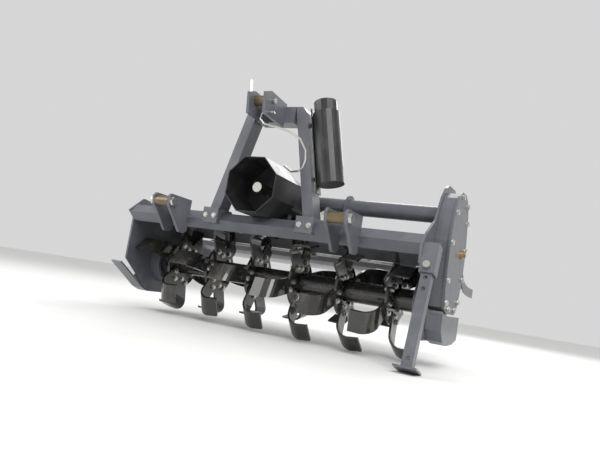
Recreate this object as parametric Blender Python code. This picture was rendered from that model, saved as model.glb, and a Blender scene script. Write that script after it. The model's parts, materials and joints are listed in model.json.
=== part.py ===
"""Rotary tiller for a small tractor, four feet wide, modelled as separate named pieces.

Metres, +Z up.  +X is the right-hand end as seen by someone who stands in front of the machine, where
the tractor would be, and +Y points to the rear.  Every piece is laid out from the rotor's axis, which
runs along X at Y = 0, Z = 0 of the empty called machine.  The last step sets that empty so that the
machine stands on the plane Z = 0 with its box centred on the origin.
"""
import bpy
import bmesh
from math import cos, pi, radians, sin, tan
from mathutils import Matrix, Vector

GAP = 0.0003                      # between pieces that touch

# Toolbar: a square tube carried on its edge
TOOLBAR_SIDE = 0.045
TOOLBAR_Y = -0.220
TOOLBAR_Z = 0.171
BODY_HALF = 0.580                 # from the hitch's centre to the inner faces of the side plates
PLATE = 0.008                     # thickness of the side plates

# Gear case on the right-hand end
CASE_DEPTH = 0.044                # along X, behind the cover
COVER_THICK = 0.008
CASE_SHRINK = 0.006               # how far the case stands back from its cover's edge

# Rotor
SWING_RADIUS = 0.205              # of the tines' leading edges
ROTOR_TUBE_RADIUS = 0.038
STUB_RADIUS = 0.022
FLANGE_RADIUS = 0.092
FLANGE_THICK = 0.010
FLANGE_COUNT = 6
FLANGE_PITCH = 0.1846
FIRST_FLANGE_X = -0.4765
HELIX_STEP = 10.0                 # degrees from one flange to the next
LEFT_TINE_ANGLE = 162.0           # of the first flange's first left-hand tine, from +Y towards +Z
TINES_EACH_WAY = 3
TINE_WIDTH = 0.060
TINE_THICK = 0.008
TINE_REACH = 0.095                # sideways, from the flange's middle to the blade's tip
TINE_BEND = 0.048                 # radius of the bend
TINE_SKEW = 30.0                  # degrees between the bend's line and the tangent
TUBE_END_GAP = 0.008              # between the rotor's tube and the bearing housings

# Bearing housings
GUARD_RADIUS = 0.085
GUARD_LENGTH = 0.046
GUARD_WALL = 0.012

# Hood and tailgate
HOOD_RADIUS = 0.226
HOOD_SHEET = 0.004
HOOD_FRONT_ANGLE = 139.0
HOOD_REAR_ANGLE = 37.0
HINGE_Y = 0.198
HINGE_Z = 0.131
HINGE_ROD_RADIUS = 0.006
HINGE_KNUCKLE_RADIUS = 0.011
TAILGATE_OVERHANG = 0.042         # past the side plates' inner faces

# Gearbox and driveline
DRIVE_Z = 0.296
CROSS_TUBE_Y = -0.034
CROSS_TUBE_RADIUS = 0.028
GEARBOX_HALF_WIDTH = 0.075
GEARBOX_FRONT = -0.175
GEARBOX_REAR = 0.045
GEARBOX_HALF_HEIGHT = 0.066
INPUT_SHAFT_RADIUS = 0.0175
INPUT_SHAFT_FRONT = -0.285

# Shield round the input shaft
SHIELD_APOTHEM = 0.095
SHIELD_FRONT = -0.330
SHIELD_REAR = -0.1755
SHIELD_SHEET = 0.003

# Mast
LEG_WIDTH = 0.040
LEG_DEPTH = 0.060
LEG_FRONT_Y = -0.242
MAST_FOOT_Z = 0.215
MAST_TOP_Z = 0.598
MAST_FOOT_HALF = 0.210            # outer edges of the legs at the foot
MAST_TOP_HALF = 0.115
CROSSBAR_HEIGHT = 0.058

# Upper clevis
CLEVIS_HALF_GAP = 0.027
CLEVIS_PLATE = 0.010
TOP_PIN_Y = -0.340
TOP_PIN_Z = 0.583
TOP_PIN_RADIUS = 0.0095

WIRE_RADIUS = 0.0035              # the rod that holds up the drive shaft

# Lower hitch
HITCH_HALF_WIDTH = 0.342          # from the centre to the middle of each clevis
HITCH_HALF_GAP = 0.029
HITCH_PLATE = 0.010
LOWER_PIN_Y = -0.343
LOWER_PIN_Z = 0.209
LOWER_PIN_RADIUS = 0.011
BUSHING_RADIUS = 0.018

# Manual canister on the mast
CANISTER_RADIUS = 0.046
CANISTER_LENGTH = 0.255
CAP_LENGTH = 0.042
CAP_RADIUS = 0.040
CANISTER_FOOT_Z = 0.322
BRACKET_PLATE = 0.004
BRACKET_STANDOFF = 0.008

# Stand
SLEEVE_SIDE = 0.046
SLEEVE_WALL = 0.006
SLEEVE_TOP_Z = 0.172
SLEEVE_BOTTOM_Z = 0.080
SLEEVE_FRONT_Y = -0.252           # of the sleeve's front face, half-way up
STAND_LEAN = 16.0                 # degrees, foot forward
STAND_CLEARANCE = 0.001
FOOT_SIDE = 0.068
FOOT_THICK = 0.006
HOLE_PITCH = 0.0345
HOLE_RADIUS = 0.0065
LOW_HOLE = 0.032                  # height of the lowest hole above the foot's underside


def clear_scene():
    """Remove whatever the scene holds."""
    for item in list(bpy.data.objects):
        bpy.data.objects.remove(item, do_unlink=True)


def finish(name, colour, roughness, metallic):
    """Return a Principled material of one colour."""
    material = bpy.data.materials.new(name)
    material.use_nodes = True
    shader = material.node_tree.nodes["Principled BSDF"]
    shader.inputs["Base Color"].default_value = (*colour, 1.0)
    shader.inputs["Roughness"].default_value = roughness
    shader.inputs["Metallic"].default_value = metallic
    material.diffuse_color = (*colour, 1.0)
    return material


def add_empty(name, parent=None, location=(0.0, 0.0, 0.0)):
    """Return an empty that carries other pieces."""
    empty = bpy.data.objects.new(name, None)
    bpy.context.collection.objects.link(empty)
    empty.parent = parent
    empty.location = location
    return empty


def add_piece(name, shape, material, parent, smooth=False):
    """Turn a bmesh into a named object under its parent, and return it."""
    bmesh.ops.recalc_face_normals(shape, faces=shape.faces)
    mesh = bpy.data.meshes.new(name)
    shape.to_mesh(mesh)
    shape.free()
    mesh.materials.append(material)
    piece = bpy.data.objects.new(name, mesh)
    bpy.context.collection.objects.link(piece)
    piece.parent = parent
    if smooth:
        mesh.shade_smooth()
        mesh.set_sharp_from_angle(angle=radians(35))
    return piece


def prism(outline, low, high, axis="X"):
    """Return a bmesh: a closed outline pushed along an axis.

    The outline's two numbers are (Y, Z) for axis X, (X, Z) for axis Y and (X, Y) for axis Z.
    """
    place = {"X": lambda a, b, c: (c, a, b), "Y": lambda a, b, c: (a, c, b), "Z": lambda a, b, c: (a, b, c)}
    shape = bmesh.new()
    ends = [[shape.verts.new(place[axis](a, b, end)) for a, b in outline] for end in (low, high)]
    shape.faces.new(ends[0])
    shape.faces.new(ends[1])
    count = len(outline)
    for i in range(count):
        j = (i + 1) % count
        shape.faces.new((ends[0][i], ends[0][j], ends[1][j], ends[1][i]))
    return shape


def block(low, high):
    """Return a bmesh box between two corners."""
    outline = [(low[1], low[2]), (high[1], low[2]), (high[1], high[2]), (low[1], high[2])]
    return prism(outline, low[0], high[0])


def circle(radius, centre=(0.0, 0.0), sides=32, start=0.0, sweep=360.0):
    """Return points on a circle, or on an arc when sweep is under 360 degrees."""
    steps = sides if sweep == 360.0 else sides + 1
    angles = [radians(start + sweep * i / sides) for i in range(steps)]
    return [(centre[0] + radius * cos(a), centre[1] + radius * sin(a)) for a in angles]


def turned(profile, sides=32):
    """Return a bmesh turned about X from a closed profile of (x, radius) points."""
    shape = bmesh.new()
    rings = []
    for i in range(sides):
        angle = 2 * pi * i / sides
        rings.append([shape.verts.new((x, r * cos(angle), r * sin(angle))) for x, r in profile])
    count = len(profile)
    for i in range(sides):
        here, there = rings[i], rings[(i + 1) % sides]
        for j in range(count):
            k = (j + 1) % count
            shape.faces.new((here[j], here[k], there[k], there[j]))
    return shape


def rod(start, end, radius, sides=20):
    """Return a bmesh cylinder between two points."""
    start, end = Vector(start), Vector(end)
    shape = bmesh.new()
    length = (end - start).length
    bmesh.ops.create_cone(shape, cap_ends=True, segments=sides, radius1=radius, radius2=radius, depth=length)
    turn = (end - start).to_track_quat("Z", "Y").to_matrix().to_4x4()
    bmesh.ops.transform(shape, matrix=Matrix.Translation((start + end) / 2) @ turn, verts=shape.verts)
    return shape


def with_tool(piece, shape, operation, label):
    """Cut a piece by a tool body, or join the body to it."""
    tool = add_piece(piece.name + "_" + label, shape, piece.data.materials[0], piece.parent)
    tool.hide_render = True
    tool.display_type = "WIRE"
    change = piece.modifiers.new(label, "BOOLEAN")
    change.operation = operation
    change.object = tool
    change.solver = "EXACT"
    return piece


def cut(piece, shape, label="hole"):
    """Take the tool's shape out of the piece."""
    return with_tool(piece, shape, "DIFFERENCE", label)


def join(piece, shape, label="joined"):
    """Weld the tool's shape to the piece."""
    return with_tool(piece, shape, "UNION", label)


def offset_band(path, thick):
    """Return the closed outline of a sheet whose middle line is the path."""
    left, right = [], []
    for i, point in enumerate(path):
        here = Vector(point)
        before = here - Vector(path[i - 1]) if i else Vector(path[1]) - here
        after = Vector(path[i + 1]) - here if i + 1 < len(path) else before
        normal = before.normalized() + after.normalized()
        normal = Vector((-normal.y, normal.x)).normalized()
        reach = thick / 2 / max(0.5, normal.dot(Vector((-before.y, before.x)).normalized()))
        left.append(tuple(here + normal * reach))
        right.append(tuple(here - normal * reach))
    return left + right[::-1]


def build_toolbar(root, paint):
    """The square tube between the side plates, on its edge."""
    outline = circle(TOOLBAR_SIDE / 2 ** 0.5, (TOOLBAR_Y, TOOLBAR_Z), 4)
    add_piece("toolbar", prism(outline, GAP - BODY_HALF, BODY_HALF - GAP), paint, root)


def build_side_plates(root, paint):
    """Both end plates, with the bores that the rotor's stubs turn in.  Outlines are in (Y, Z)."""
    left_outline = [
        (0.150, 0.190), (0.060, 0.222), (-0.129, 0.226), (-0.187, 0.232), (-0.256, 0.174), (-0.226, 0.149),
        (-0.224, -0.011), (-0.085, -0.120), (0.120, -0.120), (0.190, -0.040), (0.196, 0.112),
    ]
    right_outline = [
        (0.176, 0.160), (0.112, 0.335), (0.094, 0.396), (0.060, 0.404), (-0.020, 0.402), (-0.055, 0.385),
        (-0.090, 0.350), (-0.137, 0.262), (-0.212, 0.212), (-0.256, 0.172), (-0.250, 0.112), (-0.190, 0.085),
        (-0.108, -0.020), (-0.108, -0.118), (0.120, -0.118), (0.190, -0.040), (0.196, 0.112),
    ]
    for name, outline, inner in (
        ("left_side_plate", left_outline, -BODY_HALF),
        ("right_side_plate", right_outline, BODY_HALF),
    ):
        outer = inner + (PLATE if inner > 0 else -PLATE)
        plate = add_piece(name, prism(outline, inner, outer), paint, root)
        bore = rod((inner - PLATE * 2, 0, 0), (inner + PLATE * 2, 0, 0), STUB_RADIUS + GAP, 32)
        cut(plate, bore, "stub_bore")
        if inner > 0:
            tube = rod((inner - PLATE * 2, CROSS_TUBE_Y, DRIVE_Z), (inner + PLATE * 2, CROSS_TUBE_Y, DRIVE_Z),
                       CROSS_TUBE_RADIUS + GAP, 32)
            cut(plate, tube, "tube_bore")


def build_bearing_guards(root, paint):
    """A cup on the inside of each side plate, round the rotor's end bearing."""
    for name, side in (("left_bearing_guard", -1), ("right_bearing_guard", 1)):
        back = BODY_HALF - GAP
        profile = [
            (back, GUARD_RADIUS), (back - GUARD_LENGTH, GUARD_RADIUS), (back - GUARD_LENGTH, 0.074),
            (back - GUARD_WALL, 0.074), (back - GUARD_WALL, 0.045), (back - 0.030, 0.045),
            (back - 0.030, STUB_RADIUS + GAP), (back, STUB_RADIUS + GAP),
        ]
        add_piece(name, turned([(side * x, r) for x, r in profile]), paint, root, smooth=True)


def cover_outline(inset=0.0):
    """Outline of the gear case's cover in (Y, Z), drawn in by the inset."""
    corners = [
        (-0.046, 0.377), (0.012, 0.379), (0.058, 0.356), (0.082, 0.318), (0.116, 0.200), (0.118, 0.090),
        (0.090, 0.006), (0.058, -0.024), (-0.060, -0.024), (-0.096, -0.012), (-0.118, 0.060),
        (-0.130, 0.205), (-0.112, 0.313), (-0.084, 0.355),
    ]
    middle = Vector((-0.006, 0.180))
    drawn = []
    for corner in corners:
        arm = Vector(corner) - middle
        drawn.append(tuple(middle + arm * (1 - inset / arm.length)))
    return drawn


def build_gear_case(root, paint, brass):
    """The case of the final drive, its cover and the filler plug."""
    inner = BODY_HALF + PLATE + GAP
    face = inner + CASE_DEPTH
    case = add_piece("gear_case", prism(cover_outline(CASE_SHRINK), inner, face), paint, root)
    for y, z, radius in ((0.0, 0.0, STUB_RADIUS), (CROSS_TUBE_Y, DRIVE_Z, CROSS_TUBE_RADIUS)):
        cut(case, rod((inner - 0.01, y, z), (inner + 0.012, y, z), radius + GAP, 32), "bore")
    cover = prism(cover_outline(), face + GAP, face + COVER_THICK)
    add_piece("gear_case_cover", cover, paint, root)
    outer = face + COVER_THICK + GAP
    plug = rod((outer, 0.030, 0.178), (outer + 0.010, 0.030, 0.178), 0.013, 24)
    join(add_piece("oil_plug", plug, brass, root),
         rod((outer + 0.004, 0.030, 0.178), (outer + 0.018, 0.030, 0.178), 0.008, 6), "head")


def build_skids(root, paint):
    """The runners outside the side plates."""
    near = BODY_HALF + PLATE + GAP
    far = near + CASE_DEPTH + COVER_THICK
    left_path = [(-0.238, -0.030), (-0.096, -0.118), (-0.060, -0.130), (0.110, -0.130), (0.165, -0.100)]
    band = prism(offset_band(left_path, 0.006), -far, -near)
    left = add_piece("left_skid", band, paint, root)
    tab = [(-0.150, -0.086), (-0.096, -0.116), (-0.060, -0.128), (0.060, -0.128), (0.060, -0.070), (-0.150, -0.070)]
    join(left, prism(tab, -near - 0.006, -near), "tab")
    right_path = [
        (-0.104, -0.030), (-0.096, -0.080), (-0.060, -0.112), (0.000, -0.124), (0.080, -0.120), (0.148, -0.104),
    ]
    right = add_piece("right_skid", prism(offset_band(right_path, 0.006), near, far), paint, root)
    side = right_path + [(0.148, -0.030)]
    join(right, prism(side, far - 0.006, far), "side")
    join(right, prism(side, near, near + 0.006), "inner_side")


def build_hood(root, paint):
    """The curved sheet over the rotor, from the toolbar to the tailgate's hinge."""
    start = (TOOLBAR_Y + 0.016 + 0.004, TOOLBAR_Z - 0.016 - 0.001)
    arc = circle(HOOD_RADIUS, sides=18, start=HOOD_FRONT_ANGLE, sweep=HOOD_REAR_ANGLE - HOOD_FRONT_ANGLE)
    hood = prism(offset_band([start] + arc, HOOD_SHEET), GAP - BODY_HALF, BODY_HALF - GAP)
    add_piece("hood", hood, paint, root, smooth=True)


def build_tailgate(root, paint, steel):
    """The rear sheet, hinged along the hood's back edge on a long rod."""
    hinge = add_empty("tailgate_hinge", root, (0.0, HINGE_Y, HINGE_Z))
    path = [(0.016, -0.004), (0.040, -0.022), (0.075, -0.034), (0.125, -0.041), (0.180, -0.044), (0.244, -0.044)]
    half = BODY_HALF + TAILGATE_OVERHANG
    gate = add_piece("tailgate", prism(offset_band(path, HOOD_SHEET), -half, half), paint, hinge, smooth=True)
    lip = [(y, z - 0.032) for y, z in reversed(path)]
    for side in (-1, 1):
        flange = prism(path + lip, *sorted((side * half, side * (half - 0.005))))
        join(gate, flange, "end")
    for x in (-0.42, 0.0, 0.42):
        knuckle = prism(circle(HINGE_KNUCKLE_RADIUS, sides=16), x - 0.03, x + 0.03)
        join(gate, knuckle, "knuckle")
        join(gate, prism([(0.0, -0.006), (0.024, -0.012), (0.020, -0.004), (0.0, 0.004)], x - 0.03, x + 0.03), "leaf")
    cut(gate, rod((-0.46, 0, 0), (0.46, 0, 0), HINGE_ROD_RADIUS + GAP, 16), "rod_bore")
    bar = rod((-0.50, HINGE_Y, HINGE_Z), (0.50, HINGE_Y, HINGE_Z), HINGE_ROD_RADIUS, 16)
    hinge_bar = add_piece("hinge_rod", bar, steel, root)
    seat = HOOD_RADIUS + HOOD_SHEET / 2 + GAP
    lower, upper = circle(seat, sides=1, start=HOOD_REAR_ANGLE + 1.0, sweep=6.0)
    back = circle(seat + 0.010, sides=1, start=HOOD_REAR_ANGLE + 7.0, sweep=1.0)[0]
    ear = [(HINGE_Y + 0.008, HINGE_Z - 0.004), (HINGE_Y + 0.004, HINGE_Z + 0.009), back, upper, lower]
    for x in (-0.37, -0.26, 0.26, 0.37):
        join(hinge_bar, prism(ear, x - 0.006, x + 0.006), "ear")


def build_gearbox(root, iron, paint, steel):
    """The bevel gearbox on the hood, the cross tube and the plate that holds the tube."""
    half, tall = GEARBOX_HALF_WIDTH, GEARBOX_HALF_HEIGHT
    corner = 0.018
    outline = [
        (-half, -tall + corner), (-half + corner, -tall), (half - corner, -tall), (half, -tall + corner),
        (half, tall - corner), (half - corner, tall), (-half + corner, tall), (-half, tall - corner),
    ]
    case = prism([(x, DRIVE_Z + z) for x, z in outline], GEARBOX_FRONT, GEARBOX_REAR, "Y")
    gearbox = add_piece("gearbox", case, iron, root)
    cut(gearbox, rod((0, GEARBOX_FRONT - 0.01, DRIVE_Z), (0, GEARBOX_FRONT + 0.05, DRIVE_Z),
                     INPUT_SHAFT_RADIUS + GAP, 24), "input_bore")
    cut(gearbox, rod((half - 0.02, CROSS_TUBE_Y, DRIVE_Z), (half + 0.01, CROSS_TUBE_Y, DRIVE_Z),
                     CROSS_TUBE_RADIUS + GAP, 32), "tube_bore")
    for y in (-0.130, 0.010):
        foot = block((-0.060, y - 0.014, HOOD_RADIUS * 0.5), (0.060, y + 0.014, DRIVE_Z - tall + 0.01))
        join(gearbox, foot, "foot")
    cut(gearbox, rod((-0.2, 0, 0), (0.2, 0, 0), HOOD_RADIUS + HOOD_SHEET / 2 + 2 * GAP, 96), "hood_seat")
    tube = rod((half - 0.02 + GAP, CROSS_TUBE_Y, DRIVE_Z), (BODY_HALF + PLATE + 0.011, CROSS_TUBE_Y, DRIVE_Z),
               CROSS_TUBE_RADIUS, 32)
    add_piece("cross_tube", tube, paint, root, smooth=True)
    support_x = 0.243
    outline = circle(0.042, (CROSS_TUBE_Y, DRIVE_Z), 14, 0.0, 180.0)
    outline += [(CROSS_TUBE_Y - 0.042, 0.150), (CROSS_TUBE_Y + 0.042, 0.150)]
    support = add_piece("tube_support", prism(outline, support_x - 0.004, support_x + 0.004), paint, root)
    cut(support, rod((0, CROSS_TUBE_Y, DRIVE_Z), (1, CROSS_TUBE_Y, DRIVE_Z), CROSS_TUBE_RADIUS + GAP, 32), "bore")
    cut(support, rod((0, 0, 0), (1, 0, 0), HOOD_RADIUS + HOOD_SHEET / 2 + 2 * GAP, 96), "hood_seat")
    shaft_axis = add_empty("pto_axis", root, (0.0, 0.0, DRIVE_Z))
    shaft = rod((0, INPUT_SHAFT_FRONT, 0), (0, GEARBOX_FRONT + 0.04, 0), INPUT_SHAFT_RADIUS, 24)
    add_piece("input_shaft", shaft, steel, shaft_axis, smooth=True)


def build_shield(root, plastic):
    """The eight-sided shield round the input shaft, open in front and underneath its rear."""
    reach = SHIELD_APOTHEM / cos(pi / 8)
    outer = circle(reach, (0.0, DRIVE_Z), 8, 22.5)
    inner = circle(reach - SHIELD_SHEET / cos(pi / 8), (0.0, DRIVE_Z), 8, 22.5)
    shield = add_piece("pto_shield", prism(outer, SHIELD_FRONT, SHIELD_REAR, "Y"), plastic, root)
    cut(shield, prism(inner, SHIELD_FRONT - 0.01, SHIELD_REAR - 0.004, "Y"), "inside")
    cut(shield, rod((0, SHIELD_REAR - 0.02, DRIVE_Z), (0, SHIELD_REAR + 0.02, DRIVE_Z), 0.030, 24), "shaft_hole")
    toolbar_reach = TOOLBAR_SIDE / 2 ** 0.5 + 2 * GAP
    cut(shield, prism(circle(toolbar_reach, (TOOLBAR_Y, TOOLBAR_Z), 4), -0.3, 0.3), "toolbar_notch")


def leg_outline(side):
    """Return the outline of one mast leg in (X, Z)."""
    rise = MAST_TOP_Z - MAST_FOOT_Z
    shift = (MAST_TOP_HALF - MAST_FOOT_HALF) / rise
    foot, top = MAST_FOOT_HALF, MAST_TOP_HALF
    outline = [
        (foot - LEG_WIDTH, MAST_FOOT_Z), (foot, MAST_FOOT_Z), (top - 0.02 * shift, MAST_TOP_Z - 0.02),
        (top - 0.012, MAST_TOP_Z), (top - LEG_WIDTH, MAST_TOP_Z),
    ]
    return [(side * x, z) for x, z in outline]


def build_mast(root, paint):
    """The two slanting legs, the bar between them and the feet on the toolbar."""
    for name, side in (("left_mast_leg", -1), ("right_mast_leg", 1)):
        leg = prism(leg_outline(side), LEG_FRONT_Y, LEG_FRONT_Y + LEG_DEPTH, "Y")
        add_piece(name, leg, paint, root)
    half = MAST_TOP_HALF - LEG_WIDTH - GAP
    bar = block((-half, LEG_FRONT_Y, MAST_TOP_Z - CROSSBAR_HEIGHT), (half, LEG_FRONT_Y + LEG_DEPTH, MAST_TOP_Z))
    add_piece("mast_crossbar", bar, paint, root)
    for name, side in (("left_mast_foot", -1), ("right_mast_foot", 1)):
        low, high = sorted((side * (MAST_FOOT_HALF + 0.012), side * (MAST_FOOT_HALF - LEG_WIDTH - 0.012)))
        foot = block((low, TOOLBAR_Y - 0.044, TOOLBAR_Z - 0.012), (high, TOOLBAR_Y + 0.044, MAST_FOOT_Z - GAP))
        foot_piece = add_piece(name, foot, paint, root)
        reach = TOOLBAR_SIDE / 2 ** 0.5 + 2 * GAP
        cut(foot_piece, prism(circle(reach, (TOOLBAR_Y, TOOLBAR_Z), 4), -1, 1), "toolbar_seat")


def build_top_clevis(root, paint, steel, oily):
    """Two plates in front of the crossbar that hold the upper link's pin."""
    outline = [
        (-0.388, 0.598), (-0.354, 0.612), (LEG_FRONT_Y - GAP, 0.606), (LEG_FRONT_Y - GAP, 0.523), (-0.376, 0.528),
    ]
    for name, side in (("top_clevis_left", -1), ("top_clevis_right", 1)):
        ends = sorted((side * CLEVIS_HALF_GAP, side * (CLEVIS_HALF_GAP + CLEVIS_PLATE)))
        plate = add_piece(name, prism(outline, *ends), paint, root)
        cut(plate, rod((-1, TOP_PIN_Y, TOP_PIN_Z), (1, TOP_PIN_Y, TOP_PIN_Z), TOP_PIN_RADIUS + GAP, 20), "pin_hole")
        cut(plate, rod((-1, -0.347, 0.541), (1, -0.347, 0.541), WIRE_RADIUS + 2 * GAP, 12), "wire_hole")
    end = CLEVIS_HALF_GAP + CLEVIS_PLATE
    pin = rod((-end - 0.022, TOP_PIN_Y, TOP_PIN_Z), (end + 0.012, TOP_PIN_Y, TOP_PIN_Z), TOP_PIN_RADIUS, 20)
    pin_piece = add_piece("top_link_pin", pin, steel, root, smooth=True)
    handle = rod((-end - 0.016, TOP_PIN_Y, TOP_PIN_Z + 0.004), (-end - 0.026, TOP_PIN_Y, TOP_PIN_Z + 0.075), 0.005, 10)
    join(pin_piece, handle, "handle")
    half = CLEVIS_HALF_GAP - GAP
    bush = [(-half, BUSHING_RADIUS), (half, BUSHING_RADIUS), (half, TOP_PIN_RADIUS + GAP),
            (-half, TOP_PIN_RADIUS + GAP)]
    sleeve = turned(bush, 24)
    bmesh.ops.translate(sleeve, vec=(0, TOP_PIN_Y, TOP_PIN_Z), verts=sleeve.verts)
    add_piece("top_link_bushing", sleeve, oily, root, smooth=True)


def build_lower_hitch(root, paint, steel, oily):
    """The two clevises on the toolbar that the tractor's lower links pin to."""
    outline = [
        (-0.356, 0.190), (-0.364, 0.222), (-0.351, 0.236), (-0.236, 0.236), (-0.236, 0.120), (-0.250, 0.110),
        (-0.278, 0.110), (-0.325, 0.160),
    ]
    reach = TOOLBAR_SIDE / 2 ** 0.5 + GAP
    for label, side in (("left", -1), ("right", 1)):
        middle = side * HITCH_HALF_WIDTH
        for end, way in (("inner", -side), ("outer", side)):
            faces = sorted((middle + way * HITCH_HALF_GAP, middle + way * (HITCH_HALF_GAP + HITCH_PLATE)))
            plate = add_piece(label + "_hitch_" + end + "_plate", prism(outline, *faces), paint, root)
            cut(plate, prism(circle(reach, (TOOLBAR_Y, TOOLBAR_Z), 4), -1, 1), "toolbar_notch")
            cut(plate, rod((-1, LOWER_PIN_Y, LOWER_PIN_Z), (1, LOWER_PIN_Y, LOWER_PIN_Z),
                           LOWER_PIN_RADIUS + GAP, 20), "pin_hole")
        reach_x = HITCH_HALF_GAP + HITCH_PLATE + GAP
        pin = rod((middle - reach_x - 0.010, LOWER_PIN_Y, LOWER_PIN_Z),
                  (middle + reach_x + 0.010, LOWER_PIN_Y, LOWER_PIN_Z), LOWER_PIN_RADIUS, 20)
        pin_piece = add_piece(label + "_hitch_pin", pin, steel, root)
        for way in (-1, 1):
            ends = sorted((middle + way * reach_x, middle + way * (reach_x + 0.011)))
            join(pin_piece, prism(circle(0.017, (LOWER_PIN_Y, LOWER_PIN_Z), 6), *ends), "nut")
        half = HITCH_HALF_GAP - GAP
        sleeve = turned([(-half, BUSHING_RADIUS), (half, BUSHING_RADIUS), (half, LOWER_PIN_RADIUS + GAP),
                         (-half, LOWER_PIN_RADIUS + GAP)], 24)
        bmesh.ops.translate(sleeve, vec=(middle, LOWER_PIN_Y, LOWER_PIN_Z), verts=sleeve.verts)
        add_piece(label + "_hitch_bushing", sleeve, oily, root, smooth=True)


def build_canister(root, plastic, black_steel):
    """The screw-capped tube for papers, on a bracket outside the right-hand mast leg."""
    lean = (MAST_TOP_HALF - MAST_FOOT_HALF) / (MAST_TOP_Z - MAST_FOOT_Z)
    up = Vector((lean, 0.0, 1.0)).normalized()
    side = Vector((up.z, 0.0, -up.x))
    turn = up.to_track_quat("X", "Z").to_matrix().to_4x4()
    leg_face = Vector((MAST_TOP_HALF - lean * (MAST_TOP_Z - CANISTER_FOOT_Z), LEG_FRONT_Y + 0.030, CANISTER_FOOT_Z))
    base = leg_face + side * (BRACKET_STANDOFF + BRACKET_PLATE + 2 * GAP + CANISTER_RADIUS)
    radius, length = CANISTER_RADIUS, CANISTER_LENGTH
    body = turned([(0, 0.0001), (0, radius), (length, radius), (length, 0.0001)], 32)
    place = Matrix.Translation(base) @ turn
    bmesh.ops.transform(body, matrix=place, verts=body.verts)
    bmesh.ops.remove_doubles(body, verts=body.verts, dist=0.0005)
    add_piece("canister", body, plastic, root, smooth=True)
    low = length + GAP
    cap = turned([(low, 0.0001), (low, CAP_RADIUS), (low + CAP_LENGTH, CAP_RADIUS),
                  (low + CAP_LENGTH, 0.0001)], 12)
    bmesh.ops.transform(cap, matrix=place, verts=cap.verts)
    bmesh.ops.remove_doubles(cap, verts=cap.verts, dist=0.0005)
    add_piece("canister_cap", cap, plastic, root)
    bracket = bmesh.new()
    bmesh.ops.create_cube(bracket, size=1.0)
    size = Matrix.Diagonal((length + 0.05, 0.034, BRACKET_PLATE, 1.0))
    axes = Matrix((
        (up.x, 0.0, side.x, 0.0), (0.0, 1.0, 0.0, 0.0), (up.z, 0.0, side.z, 0.0), (0.0, 0.0, 0.0, 1.0),
    ))
    middle = base + up * (length / 2) - side * (radius + GAP + BRACKET_PLATE / 2)
    bmesh.ops.transform(bracket, matrix=Matrix.Translation(middle) @ axes @ size, verts=bracket.verts)
    piece = add_piece("canister_bracket", bracket, black_steel, root)
    for along in (0.03, length - 0.03):
        start = base + up * along - side * (radius + BRACKET_PLATE / 2)
        join(piece, rod(start, start - side * (BRACKET_PLATE / 2 + BRACKET_STANDOFF), 0.008, 12), "spacer")


def build_wire(root, steel):
    """The bent rod that holds the drive shaft up, hooked through the clevis and round the mast leg."""
    route = [
        (0.0600, -0.350, 0.5320), (0.0540, -0.347, 0.5410), (0.0160, -0.347, 0.5410), (0.0100, -0.347, 0.5350),
        (0.0100, -0.352, 0.5150), (0.0300, -0.356, 0.4980), (0.0700, -0.350, 0.4900), (0.1150, -0.330, 0.4800),
        (0.1500, -0.310, 0.4620), (0.1660, -0.290, 0.4300), (0.1660, -0.280, 0.4000), (0.1560, -0.272, 0.3760),
        (0.1380, -0.266, 0.3640), (0.1100, -0.262, 0.3620), (0.0800, -0.266, 0.3800),
    ]
    curve = bpy.data.curves.new("shaft_rest", "CURVE")
    curve.dimensions = "3D"
    curve.bevel_depth = WIRE_RADIUS
    curve.bevel_resolution = 2
    curve.use_fill_caps = True
    line = curve.splines.new("POLY")
    line.points.add(len(route) - 1)
    for point, place in zip(line.points, route):
        point.co = (*place, 1.0)
    curve.materials.append(steel)
    wire = bpy.data.objects.new("shaft_rest", curve)
    bpy.context.collection.objects.link(wire)
    wire.parent = root


def build_stand(root, paint, steel, floor_z):
    """The sleeve on the right-hand plate, the square leg with its foot, and the pin."""
    lean = radians(STAND_LEAN)
    down = Vector((0.0, -sin(lean), -cos(lean)))
    inner = BODY_HALF + PLATE + GAP
    half = SLEEVE_SIDE / 2
    middle_z = (SLEEVE_TOP_Z + SLEEVE_BOTTOM_Z) / 2
    centre = Vector((inner + half, SLEEVE_FRONT_Y + half / cos(lean), middle_z))
    slide = add_empty("stand_axis", root, centre)
    slide.rotation_euler = (-lean, 0.0, 0.0)
    length = (SLEEVE_TOP_Z - SLEEVE_BOTTOM_Z) / cos(lean)
    sleeve = add_piece("stand_sleeve", block((-half, -half, -length / 2), (half, half, length / 2)), paint, slide)
    bore = half - SLEEVE_WALL
    cut(sleeve, block((-bore, -bore, -length), (bore, bore, length)), "bore")
    pin_z = -length / 2 + 0.020
    cut(sleeve, rod((0, -1, pin_z), (0, 1, pin_z), HOLE_RADIUS, 16), "pin_hole")
    side = bore - STAND_CLEARANCE
    drop = (centre.z - floor_z - (FOOT_SIDE / 2) * sin(lean)) / cos(lean)
    foot_low = -drop
    leg_top = length / 2 - 0.004
    leg = add_piece("stand_leg", block((-side, -side, foot_low + FOOT_THICK / 2), (side, side, leg_top)), paint, slide)
    foot = FOOT_SIDE / 2
    join(leg, block((-foot, -foot, foot_low), (foot, foot, foot_low + FOOT_THICK)), "foot")
    holes = [pin_z - HOLE_PITCH * i for i in range(3)] + [foot_low + LOW_HOLE]
    for z in holes:
        cut(leg, rod((0, -1, z), (0, 1, z), HOLE_RADIUS, 16), "hole")
    pin = rod((0, -half - 0.014, pin_z), (0, -side - GAP, pin_z), HOLE_RADIUS - GAP, 16)
    pin_piece = add_piece("stand_pin", pin, steel, slide)
    join(pin_piece, rod((0, -half - 0.016, pin_z), (0, -half - GAP, pin_z), 0.011, 16), "head")


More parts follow.
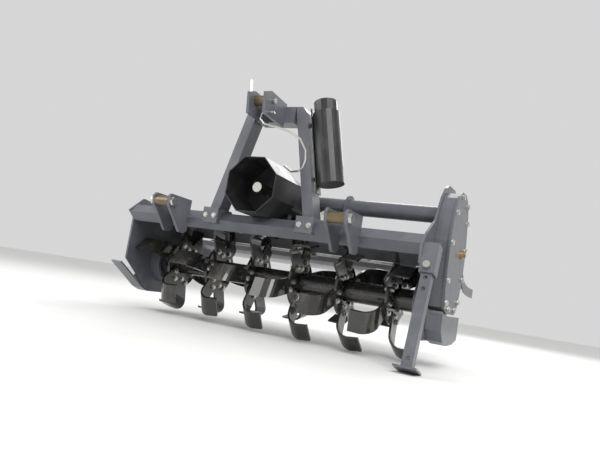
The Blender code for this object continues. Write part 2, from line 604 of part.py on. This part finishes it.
def tine_shape(flange_x, angle, side):
    """Return the bmesh of one tine.

    The bar lies on the flange's face, turned to the angle from +Y towards +Z, and bends sideways, to -X or
    +X by side.  The bend's line is skewed, so the leading edge stands out further than the trailing one.
    """
    shape = bmesh.new()
    out = Vector((0.0, cos(radians(angle)), sin(radians(angle))))
    along = Vector((0.0, -out.z, out.y))
    half = TINE_WIDTH / 2
    lead = (SWING_RADIUS ** 2 - half ** 2) ** 0.5
    drop = TINE_WIDTH * tan(radians(TINE_SKEW))
    bar_x = FLANGE_THICK / 2 - GAP
    edges = []
    for offset, reach in ((half, lead), (-half, lead - drop)):
        outer, inner = [], []
        for ring, extra in ((outer, 0.0), (inner, TINE_THICK)):
            bend = TINE_BEND - extra
            centre_r = reach - TINE_BEND
            centre_x = bar_x + TINE_BEND
            ring.append((ROTOR_TUBE_RADIUS + 0.006, centre_x - bend))
            for r, x in circle(bend, (centre_r, centre_x), 6, -90.0, 90.0):
                ring.append((r, x))
            ring.append((reach - extra - 0.004, TINE_REACH))
        edges.append((offset, outer, inner))
    rows = []
    for offset, outer, inner in edges:
        rows.append([
            [shape.verts.new(Vector((flange_x + side * x, 0, 0)) + out * r + along * offset) for r, x in ring]
            for ring in (outer, inner)
        ])
    (lead_out, lead_in), (trail_out, trail_in) = rows
    for i in range(len(lead_out) - 1):
        j = i + 1
        shape.faces.new((lead_out[i], lead_out[j], trail_out[j], trail_out[i]))
        shape.faces.new((lead_in[i], trail_in[i], trail_in[j], lead_in[j]))
        shape.faces.new((lead_out[i], lead_in[i], lead_in[j], lead_out[j]))
        shape.faces.new((trail_out[i], trail_out[j], trail_in[j], trail_in[i]))
    shape.faces.new((lead_out[0], trail_out[0], trail_in[0], lead_in[0]))
    shape.faces.new((lead_out[-1], lead_in[-1], trail_in[-1], trail_out[-1]))
    bmesh.ops.recalc_face_normals(shape, faces=shape.faces)
    return shape


def build_rotor(root, paint, black):
    """The rotor's tube with its stubs, and six flanges with the tines on them.  Returns its lowest height."""
    axis = add_empty("rotor_axis", root)
    end = BODY_HALF - GUARD_LENGTH - TUBE_END_GAP
    stub = BODY_HALF + PLATE
    profile = [
        (-stub, 0.0001), (-stub, STUB_RADIUS), (-end, STUB_RADIUS), (-end, ROTOR_TUBE_RADIUS),
        (end, ROTOR_TUBE_RADIUS), (end, STUB_RADIUS), (stub, STUB_RADIUS), (stub, 0.0001),
    ]
    tube = turned(profile, 32)
    bmesh.ops.remove_doubles(tube, verts=tube.verts, dist=0.0005)
    add_piece("rotor_tube", tube, paint, axis, smooth=True)
    lowest = 0.0
    for i in range(FLANGE_COUNT):
        x = FIRST_FLANGE_X + FLANGE_PITCH * i
        profile = [
            (x - FLANGE_THICK / 2, FLANGE_RADIUS), (x + FLANGE_THICK / 2, FLANGE_RADIUS),
            (x + FLANGE_THICK / 2, ROTOR_TUBE_RADIUS + GAP), (x - FLANGE_THICK / 2, ROTOR_TUBE_RADIUS + GAP),
        ]
        flange = add_piece("rotor_flange_%d" % (i + 1), turned(profile, 32), black, axis)
        for k in range(2 * TINES_EACH_WAY):
            side = 1 if k % 2 else -1
            angle = LEFT_TINE_ANGLE + HELIX_STEP * i + k * 180.0 / TINES_EACH_WAY
            tine = tine_shape(x, angle, side)
            lowest = min([lowest] + [v.co.z for v in tine.verts])
            join(flange, tine, "tine_%d" % (k + 1))
    return lowest


def stand_on_floor(root):
    """Move the machine so that its box stands on Z = 0 with its middle over the origin."""
    bpy.context.view_layer.update()
    graph = bpy.context.evaluated_depsgraph_get()
    corners = []
    for item in bpy.context.scene.objects:
        if item.type in {"MESH", "CURVE"} and not item.hide_render:
            seen = item.evaluated_get(graph)
            mesh = seen.to_mesh()
            corners += [seen.matrix_world @ v.co for v in mesh.vertices]
            seen.to_mesh_clear()
    low = [min(c[i] for c in corners) for i in range(3)]
    high = [max(c[i] for c in corners) for i in range(3)]
    root.location = (-(low[0] + high[0]) / 2, -(low[1] + high[1]) / 2, -low[2])


def main():
    """Build every piece."""
    clear_scene()
    paint = finish("slate_paint", (0.13, 0.135, 0.15), 0.42, 0.0)
    black_paint = finish("black_paint", (0.02, 0.02, 0.022), 0.30, 0.0)
    iron = finish("cast_iron", (0.05, 0.05, 0.055), 0.50, 0.2)
    plastic = finish("black_plastic", (0.02, 0.02, 0.022), 0.45, 0.0)
    steel = finish("zinc_steel", (0.55, 0.55, 0.56), 0.35, 0.9)
    oily = finish("oiled_steel", (0.18, 0.15, 0.10), 0.35, 0.6)
    brass = finish("brass", (0.60, 0.45, 0.20), 0.35, 0.9)
    root = add_empty("machine")
    build_toolbar(root, paint)
    build_side_plates(root, paint)
    build_bearing_guards(root, paint)
    build_gear_case(root, paint, brass)
    build_skids(root, paint)
    build_hood(root, paint)
    build_tailgate(root, paint, steel)
    build_gearbox(root, iron, paint, steel)
    build_shield(root, plastic)
    build_mast(root, paint)
    build_top_clevis(root, paint, steel, oily)
    build_lower_hitch(root, paint, steel, oily)
    build_canister(root, plastic, black_paint)
    build_wire(root, steel)
    floor_z = build_rotor(root, black_paint, black_paint)
    build_stand(root, paint, steel, floor_z)
    stand_on_floor(root)


main()
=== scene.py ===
"""Looks of a four-foot rotary tiller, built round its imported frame.

The frame's own nodes get their finishes here, and the bolts that hold the machine together are added.
Places are given from the rotor's axis: +X to the gear case, +Y to the rear, +Z up, all in metres.
"""

import json
import logging
from dataclasses import dataclass
from enum import Enum
from math import cos, pi, radians, sin

import bmesh
import bpy
from mathutils import Matrix, Vector

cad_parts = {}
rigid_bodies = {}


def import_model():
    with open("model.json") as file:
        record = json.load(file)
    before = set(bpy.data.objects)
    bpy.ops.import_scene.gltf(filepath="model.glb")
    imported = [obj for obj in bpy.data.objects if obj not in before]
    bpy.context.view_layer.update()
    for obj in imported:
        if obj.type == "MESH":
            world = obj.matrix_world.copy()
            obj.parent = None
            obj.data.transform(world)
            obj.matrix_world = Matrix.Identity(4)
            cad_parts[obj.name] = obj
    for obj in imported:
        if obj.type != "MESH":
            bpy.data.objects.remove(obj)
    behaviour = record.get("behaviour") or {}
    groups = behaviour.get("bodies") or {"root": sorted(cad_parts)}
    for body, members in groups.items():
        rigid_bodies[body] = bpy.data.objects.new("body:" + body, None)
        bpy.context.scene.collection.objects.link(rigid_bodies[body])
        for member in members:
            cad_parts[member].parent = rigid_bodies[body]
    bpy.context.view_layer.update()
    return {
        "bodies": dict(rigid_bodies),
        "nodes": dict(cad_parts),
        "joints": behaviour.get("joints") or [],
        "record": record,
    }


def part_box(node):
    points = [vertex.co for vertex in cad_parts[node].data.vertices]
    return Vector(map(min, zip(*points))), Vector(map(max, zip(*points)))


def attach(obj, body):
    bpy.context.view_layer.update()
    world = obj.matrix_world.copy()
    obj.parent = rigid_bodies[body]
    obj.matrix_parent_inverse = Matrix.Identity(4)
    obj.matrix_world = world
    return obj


LOG = logging.getLogger("tiller")
Colour = tuple[float, float, float]
Place = tuple[float, float, float]


class Axis(Enum):
    """The way a fastener's head points."""

    LEFT = (-1.0, 0.0, 0.0)
    RIGHT = (1.0, 0.0, 0.0)
    FRONT = (0.0, -1.0, 0.0)


class Value:
    """A shader socket that takes part in Python arithmetic."""

    def __init__(self, graph: "Graph", socket: bpy.types.NodeSocket) -> None:
        """Keep the graph that the socket belongs to, and the socket."""
        self.graph = graph
        self.socket = socket

    def _math(self, operation: str, first: "Value | float", second: "Value | float") -> "Value":
        """Add one Math node.

        Args:
            operation: the node's operation.
            first: the first input.
            second: the second input.

        Returns:
            The node's result.
        """
        return self.graph.node("ShaderNodeMath", {"operation": operation}, {0: first, 1: second})

    def __add__(self, other: "Value | float") -> "Value":
        """Return self + other."""
        return self._math("ADD", self, other)

    __radd__ = __add__

    def __mul__(self, other: "Value | float") -> "Value":
        """Return self * other."""
        return self._math("MULTIPLY", self, other)

    __rmul__ = __mul__

    def __sub__(self, other: "Value | float") -> "Value":
        """Return self - other."""
        return self._math("SUBTRACT", self, other)

    def __rsub__(self, other: "Value | float") -> "Value":
        """Return other - self."""
        return self._math("SUBTRACT", other, self)


class Graph:
    """The node tree of one material."""

    def __init__(self, name: str) -> None:
        """Start a material that holds a Principled shader."""
        self.material = bpy.data.materials.new(name)
        self.material.use_nodes = True
        self.tree = self.material.node_tree
        self.shader = self.tree.nodes["Principled BSDF"]

    def feed(self, socket: bpy.types.NodeSocket, value: object) -> None:
        """Link a Value to a socket, or write a plain value there.

        Args:
            socket: the input to fill.
            value: a Value, or a number or colour.
        """
        if isinstance(value, Value):
            self.tree.links.new(value.socket, socket)
        else:
            socket.default_value = value

    def node(self, kind: str, settings: dict, inputs: dict, output: int | str = 0) -> Value:
        """Add a node.

        Args:
            kind: the node's type.
            settings: properties that are set first.
            inputs: values or links of its sockets.
            output: the socket that is returned.

        Returns:
            One of the node's outputs.
        """
        node = self.tree.nodes.new(kind)
        for key, value in settings.items():
            setattr(node, key, value)
        for key, value in inputs.items():
            self.feed(node.inputs[key], value)
        return Value(self, node.outputs[output])

    def noise(self, scale: float, detail: float) -> Value:
        """Return noise over the object's own coordinates, from 0 to 1."""
        place = self.node("ShaderNodeTexCoord", {}, {}, "Object")
        return self.node("ShaderNodeTexNoise", {}, {"Vector": place, "Scale": scale, "Detail": detail})

    def band(self, value: Value, low: float, high: float) -> Value:
        """Return 0 below low and 1 above high, with a ramp between."""
        return self.node("ShaderNodeMapRange", {}, {"Value": value, "From Min": low, "From Max": high})

    def blend(self, mask: Value, first: object, second: object) -> Value:
        """Mix two colours.

        Args:
            mask: how much of the second colour shows.
            first: a colour, or a link to one.
            second: a colour, or a link to one.

        Returns:
            The mixed colour.
        """
        return self.node("ShaderNodeMix", {"data_type": "RGBA"}, {0: mask, 6: first, 7: second}, 2)


@dataclass(frozen=True)
class Wear:
    """The sizes of the clouds and stains that every finish shares."""

    cloud_scale: float = 9.0
    cloud_edges: tuple[float, float] = (0.35, 0.7)
    stain_scale: float = 26.0
    stain_edges: tuple[float, float] = (0.52, 0.74)
    gloss_change: float = 0.16
    bump_depth: float = 0.001


@dataclass(frozen=True)
class Finish:
    """A surface: its colours, gloss and grain."""

    name: str
    colour: Colour
    tint: Colour
    dust: Colour
    roughness: float
    metallic: float = 0.0
    coat: float = 0.0
    grain: float = 900.0
    bump: float = 0.05
    dusty: float = 0.25
    wear: Wear = Wear()

    def build(self) -> bpy.types.Material:
        """Build the node tree: clouded colour, stains, uneven gloss and a fine grain.

        Returns:
            The finish as a material.
        """
        graph = Graph(self.name)
        cloud = graph.noise(self.wear.cloud_scale, 6.0)
        speck = graph.noise(self.grain, 2.0)
        stain = graph.band(graph.noise(self.wear.stain_scale, 8.0), *self.wear.stain_edges)
        clouded = graph.band(cloud, *self.wear.cloud_edges)
        base = graph.blend(clouded, (*self.colour, 1.0), (*self.tint, 1.0))
        base = graph.blend(stain * self.dusty, base, (*self.dust, 1.0))
        graph.feed(graph.shader.inputs["Base Color"], base)
        rough = (cloud - 0.5) * self.wear.gloss_change + stain * (self.dusty * 0.5) + self.roughness
        graph.feed(graph.shader.inputs["Roughness"], rough)
        graph.shader.inputs["Metallic"].default_value = self.metallic
        graph.shader.inputs["Coat Weight"].default_value = self.coat
        height = speck * 0.5 + cloud * 0.5
        sockets = {"Strength": self.bump, "Distance": self.wear.bump_depth, "Height": height}
        bump = graph.node("ShaderNodeBump", {}, sockets)
        graph.feed(graph.shader.inputs["Normal"], bump)
        return graph.material


FINISHES = (
    Finish(
        "slate_paint", (0.085, 0.09, 0.104), (0.115, 0.12, 0.135), (0.20, 0.19, 0.17),
        roughness=0.36, coat=0.2,
    ),
    Finish(
        "black_paint", (0.012, 0.012, 0.013), (0.026, 0.024, 0.02), (0.10, 0.085, 0.055),
        roughness=0.2, coat=0.6, dusty=0.4,
    ),
    Finish(
        "cast_iron", (0.035, 0.036, 0.04), (0.055, 0.056, 0.06), (0.12, 0.11, 0.10),
        roughness=0.5, grain=400.0, bump=0.3,
    ),
    Finish(
        "black_plastic", (0.012, 0.012, 0.013), (0.02, 0.02, 0.021), (0.08, 0.08, 0.08),
        roughness=0.34,
    ),
    Finish(
        "zinc_steel", (0.62, 0.61, 0.58), (0.5, 0.49, 0.46), (0.32, 0.27, 0.18),
        roughness=0.28, metallic=1.0,
    ),
    Finish(
        "oiled_steel", (0.2, 0.165, 0.09), (0.13, 0.11, 0.07), (0.06, 0.05, 0.03),
        roughness=0.3, metallic=0.7,
    ),
    Finish(
        "brass", (0.62, 0.45, 0.2), (0.5, 0.36, 0.16), (0.25, 0.19, 0.1),
        roughness=0.3, metallic=1.0,
    ),
)


class Wardrobe:
    """Every finish, built once."""

    def __init__(self) -> None:
        """Build each finish."""
        self.materials = {finish.name: finish.build() for finish in FINISHES}

    def dress_frame(self, frame: dict) -> None:
        """Give each carried-over node its slot's finish.
        """
        slots = {part["node"]: part["material_slot"] for part in frame["record"]["subparts"]}
        for name, item in frame["nodes"].items():
            for slot in item.material_slots:
                slot.material = self.materials[slots[name]]
            LOG.info("dressed %s", name)


@dataclass
class Hardware:
    """Hex heads with washers, laid on the machine from its rotor's axis."""

    wardrobe: Wardrobe
    datum: Vector
    across: float = 0.016
    height: float = 0.008
    washer: float = 0.002
    chamfer: float = 0.0015
    washer_flare: float = 1.35
    corner_flare: float = 1.15
    chamfer_flare: float = 0.98
    washer_sides: int = 24
    head_sides: int = 6
    finish: str = "zinc_steel"

    def bolts(self, name: str, body: str, spots: list[tuple[Vector, Axis]],
              scale: float = 1.0) -> bpy.types.Object:
        """Build one piece out of several bolts.

        Args:
            name: the piece's name.
            body: the body it rides on.
            spots: each bolt's place from the rotor's axis, and the way its head points.
            scale: size against the plain bolt.

        Returns:
            The piece.
        """
        shape = bmesh.new()
        for place, axis in spots:
            self._one(shape, self.datum + place, Vector(axis.value), scale)
        mesh = bpy.data.meshes.new(name)
        bmesh.ops.recalc_face_normals(shape, faces=shape.faces)
        shape.to_mesh(mesh)
        shape.free()
        mesh.materials.append(self.wardrobe.materials[self.finish])
        piece = bpy.data.objects.new(name, mesh)
        bpy.context.collection.objects.link(piece)
        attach(piece, body)
        LOG.info("built %s", name)
        return piece

    def _one(self, shape: bmesh.types.BMesh, place: Vector, way: Vector, scale: float) -> None:
        """Add a washer and a chamfered hex head to a mesh.

        Args:
            shape: the mesh that takes them.
            place: the middle of the washer's underside.
            way: the way that the head points.
            scale: size against the plain bolt.
        """
        turn = way.to_track_quat("Z", "Y").to_matrix().to_4x4()
        move = Matrix.Translation(place) @ turn
        flat = self.across / 2 * scale
        disc, corner, rim = flat * self.washer_flare, flat * self.corner_flare, flat * self.chamfer_flare
        top = self.height * scale
        self._slice(shape, move, self.washer_sides, (disc, 0.0), (disc, self.washer))
        self._slice(shape, move, self.head_sides, (corner, self.washer), (corner, top - self.chamfer))
        self._slice(shape, move, self.head_sides, (corner, top - self.chamfer), (rim, top))

    def _slice(self, shape: bmesh.types.BMesh, move: Matrix, sides: int, low: tuple[float, float],
               high: tuple[float, float]) -> None:
        """Add one closed slice of a fastener.

        Args:
            shape: the mesh that takes it.
            move: where the slice's own Z axis goes.
            sides: how many sides the slice has.
            low: the lower ring's radius and height.
            high: the upper ring's radius and height.
        """
        angles = [2 * pi * i / sides for i in range(sides)]
        rings = [
            [shape.verts.new(move @ Vector((radius * cos(a), radius * sin(a), z))) for a in angles]
            for radius, z in (low, high)
        ]
        for i in range(sides):
            j = (i + 1) % sides
            shape.faces.new((rings[0][i], rings[0][j], rings[1][j], rings[1][i]))
        shape.faces.new(rings[0][::-1])
        shape.faces.new(rings[1])


@dataclass
class Rotor:
    """The bolts that hold each tine to its flange."""

    hardware: Hardware
    count: int = 6
    tines: int = 6
    first_x: float = -0.4765
    pitch: float = 0.1846
    helix_step: float = 10.0
    first_angle: float = 162.0
    half_flange: float = 0.005
    tine_thick: float = 0.008
    bolt_radii: tuple[float, float] = (0.060, 0.080)
    stagger: float = 0.012

    def build(self) -> None:
        """Bolt every tine to its flange, with a head on the tine and a nut on the flange's back."""
        for index in range(self.count):
            spots = []
            for k in range(self.tines):
                spots += self._tine_bolts(index, k)
            self.hardware.bolts(f"flange_bolts_{index + 1}", "rotor", spots)

    def _tine_bolts(self, index: int, k: int) -> list[tuple[Vector, Axis]]:
        """Place the two bolts of one tine.

        Args:
            index: the flange's number, from the left.
            k: the tine's number on it; odd tines bend to the right.

        Returns:
            Each head's and nut's place and direction.
        """
        spots = []
        x = self.first_x + self.pitch * index
        side = 1 if k % 2 else -1
        outward, inward = (Axis.RIGHT, Axis.LEFT) if side > 0 else (Axis.LEFT, Axis.RIGHT)
        angle = radians(self.first_angle + self.helix_step * index + k * 360.0 / self.tines)
        for radius, across in zip(self.bolt_radii, (-self.stagger, self.stagger)):
            y = radius * cos(angle) - across * sin(angle)
            z = radius * sin(angle) + across * cos(angle)
            spots.append((Vector((x + side * (self.half_flange + self.tine_thick), y, z)), outward))
            spots.append((Vector((x - side * self.half_flange, y, z)), inward))
        return spots


@dataclass
class Fixings:
    """The bolts of the frame: gear case, left side plate and mast feet."""

    hardware: Hardware
    cover_x: float = 0.6406
    plate_x: float = -0.588
    foot_front: float = -0.264
    foot_z: float = 0.186
    foot_spread: tuple[float, float] = (0.172, 0.208)
    foot_scale: float = 0.9
    # (Y, Z) of the bolts round the cover's rim, and of those on the left side plate
    cover_rim: tuple[tuple[float, float], ...] = (
        (-0.040, 0.362), (0.045, 0.345), (0.072, 0.290), (0.094, 0.200), (0.102, 0.100), (0.078, 0.020),
        (0.040, -0.008), (-0.050, -0.008), (-0.088, 0.010), (-0.104, 0.080), (-0.114, 0.200),
        (-0.098, 0.300),
    )
    left_plate: tuple[tuple[float, float], ...] = (
        (-0.200, 0.150), (-0.165, 0.205), (-0.060, 0.060), (0.060, 0.060), (-0.060, -0.060),
        (0.060, -0.060),
    )

    def build(self) -> None:
        """Place every group of bolts."""
        case = [(Vector((self.cover_x, y, z)), Axis.RIGHT) for y, z in self.cover_rim]
        self.hardware.bolts("case_bolts", "frame", case)
        plate = [(Vector((self.plate_x, y, z)), Axis.LEFT) for y, z in self.left_plate]
        self.hardware.bolts("plate_bolts", "frame", plate)
        feet = [
            (Vector((side * x, self.foot_front, self.foot_z)), Axis.FRONT)
            for side in (-1, 1) for x in self.foot_spread
        ]
        self.hardware.bolts("foot_bolts", "frame", feet, scale=self.foot_scale)


@dataclass(frozen=True)
class Lamp:
    """One soft lamp that points at the machine's middle."""

    name: str
    place: Place
    size: float
    power: float


@dataclass
class Studio:
    """Floor, lamps, world and camera.  Angles are in radians."""

    datum: Vector
    target: Place = (0.0376, 0.0, 0.2177)
    distance: float = 2.1724
    azimuth: float = 0.486
    elevation: float = -0.112
    roll: float = 0.166
    lens: float = 34.2
    floor_reach: float = 14.0
    sky: Colour = (0.9, 0.9, 0.9)
    sky_strength: float = 0.75
    aim: Place = (0.0, 0.0, 0.3)
    lamps: tuple[Lamp, ...] = (
        Lamp("key", (2.2, -2.6, 3.0), size=2.4, power=120.0),
        Lamp("fill", (-3.0, -2.0, 1.8), size=2.6, power=60.0),
        Lamp("back", (0.0, 3.0, 2.6), size=2.4, power=70.0),
    )

    def build(self) -> None:
        """Set up everything that isn't the machine."""
        scene = bpy.context.scene
        scene.view_settings.view_transform = "Standard"
        world = bpy.data.worlds.new("studio")
        world.use_nodes = True
        background = world.node_tree.nodes["Background"]
        background.inputs["Color"].default_value = (*self.sky, 1.0)
        background.inputs["Strength"].default_value = self.sky_strength
        scene.world = world
        self._floor()
        for lamp in self.lamps:
            self._light(lamp)
        self._camera()

    def _light(self, lamp: Lamp) -> None:
        """Hang one lamp.

        Args:
            lamp: its place, size and power.
        """
        light = bpy.data.lights.new(lamp.name, "AREA")
        light.energy = lamp.power
        light.size = lamp.size
        item = bpy.data.objects.new(lamp.name, light)
        item.location = lamp.place
        item.rotation_euler = (Vector(self.aim) - Vector(lamp.place)).to_track_quat("-Z", "Y").to_euler()
        bpy.context.collection.objects.link(item)

    def _floor(self) -> None:
        """Lay the pale floor."""
        mesh = bpy.data.meshes.new("floor")
        reach = self.floor_reach
        corners = [(-reach, -reach, 0), (reach, -reach, 0), (reach, reach, 0), (-reach, reach, 0)]
        mesh.from_pydata(corners, [], [(0, 1, 2, 3)])
        finish = Finish(
            "floor", (0.8, 0.8, 0.79), (0.82, 0.82, 0.81), (0.78, 0.78, 0.77), roughness=0.7, bump=0.0,
        )
        mesh.materials.append(finish.build())
        floor = bpy.data.objects.new("floor", mesh)
        bpy.context.collection.objects.link(floor)

    def _camera(self) -> None:
        """Place the camera low in front of the gear case's end, rolled about its own axis."""
        back = Vector((
            sin(self.azimuth) * cos(self.elevation), -cos(self.azimuth) * cos(self.elevation),
            sin(self.elevation),
        ))
        right = Vector((0, 0, 1)).cross(back).normalized()
        above = back.cross(right)
        rolled_right = right * cos(self.roll) + above * sin(self.roll)
        rolled_up = above * cos(self.roll) - right * sin(self.roll)
        turn = Matrix((rolled_right, rolled_up, back)).transposed().to_4x4()
        camera = bpy.data.cameras.new("camera")
        camera.lens = self.lens
        item = bpy.data.objects.new("camera", camera)
        place = self.datum + Vector(self.target) + back * self.distance
        item.matrix_world = Matrix.Translation(place) @ turn
        bpy.context.collection.objects.link(item)
        bpy.context.scene.camera = item


def main() -> None:
    """Build the looks round the frame."""
    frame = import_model()
    low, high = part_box("rotor_tube")
    datum = (Vector(low) + Vector(high)) / 2
    Studio(datum).build()
    wardrobe = Wardrobe()
    wardrobe.dress_frame(frame)
    hardware = Hardware(wardrobe, datum)
    Rotor(hardware).build()
    Fixings(hardware).build()


if __name__ == "__main__":
    logging.basicConfig(level=logging.INFO)
    main()
